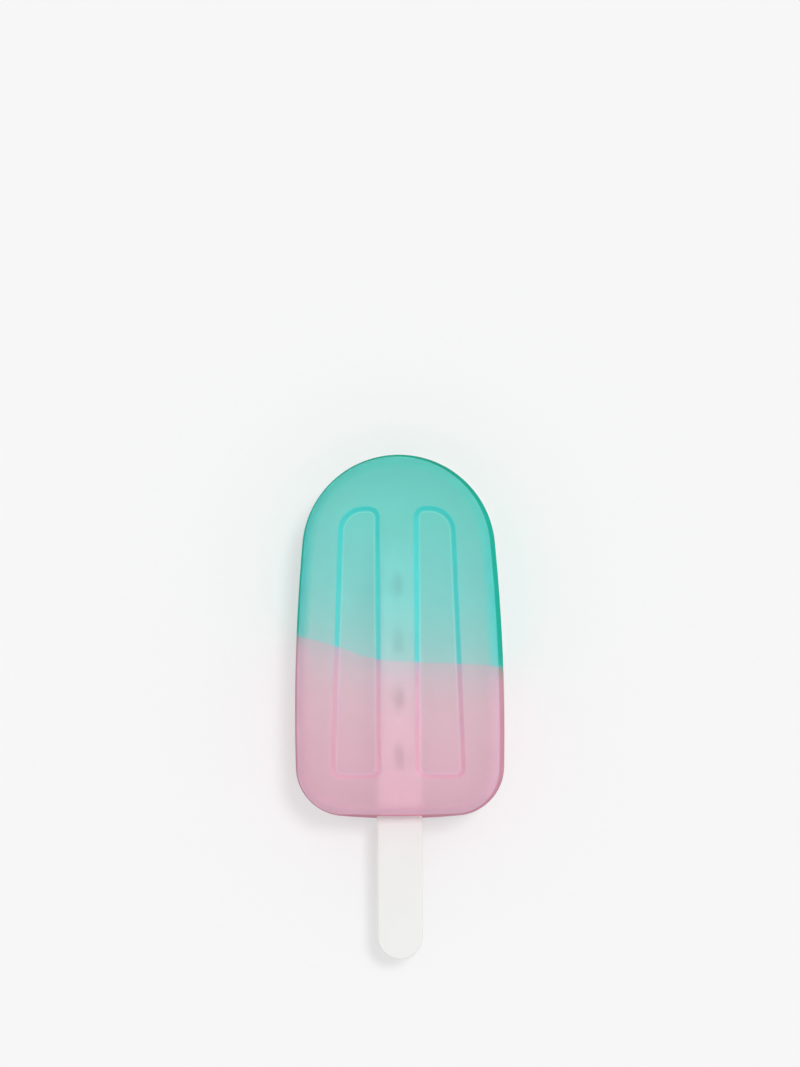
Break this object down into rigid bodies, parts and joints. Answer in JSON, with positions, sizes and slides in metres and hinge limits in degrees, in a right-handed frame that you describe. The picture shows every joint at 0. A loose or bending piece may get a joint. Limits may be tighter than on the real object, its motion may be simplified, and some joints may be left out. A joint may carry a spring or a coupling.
{
  "type": "ice pop mould",
  "caption": "Flat domed ice pop mould: a drafted translucent tray with sunk panels, a plug lid behind it and a flat slotted stick that passes through its end wall.",
  "frame": {"origin": "centre of the tray's outline on the lid's underside", "axes": "+X across the tray, +Y towards the domed end, +Z from the lid's underside to the front face; the stick points along -Y"},
  "size_m": [0.0616, 0.1475, 0.022],
  "materials": {
    "tray": "translucent silicone rubber, sea green at the domed end and rose pink at the stick end, fine matt mould texture",
    "lid": "natural polypropylene, satin",
    "stick": "white polypropylene, satin"
  },
  "bodies": {
    "lid": {"lid": "lid"},
    "mould": {"mould_shell": "tray"},
    "stick": {"stick": "stick"}
  },
  "joints": [
    {"name": "mould_lift", "type": "slide", "parent": "lid", "child": "mould", "axis": [0, 0, 1], "range_m": [0, 0.06]},
    {"name": "stick_pull", "type": "slide", "parent": "mould", "child": "stick", "axis": [0, -1, 0], "range_m": [0, 0.095]}
  ]
}
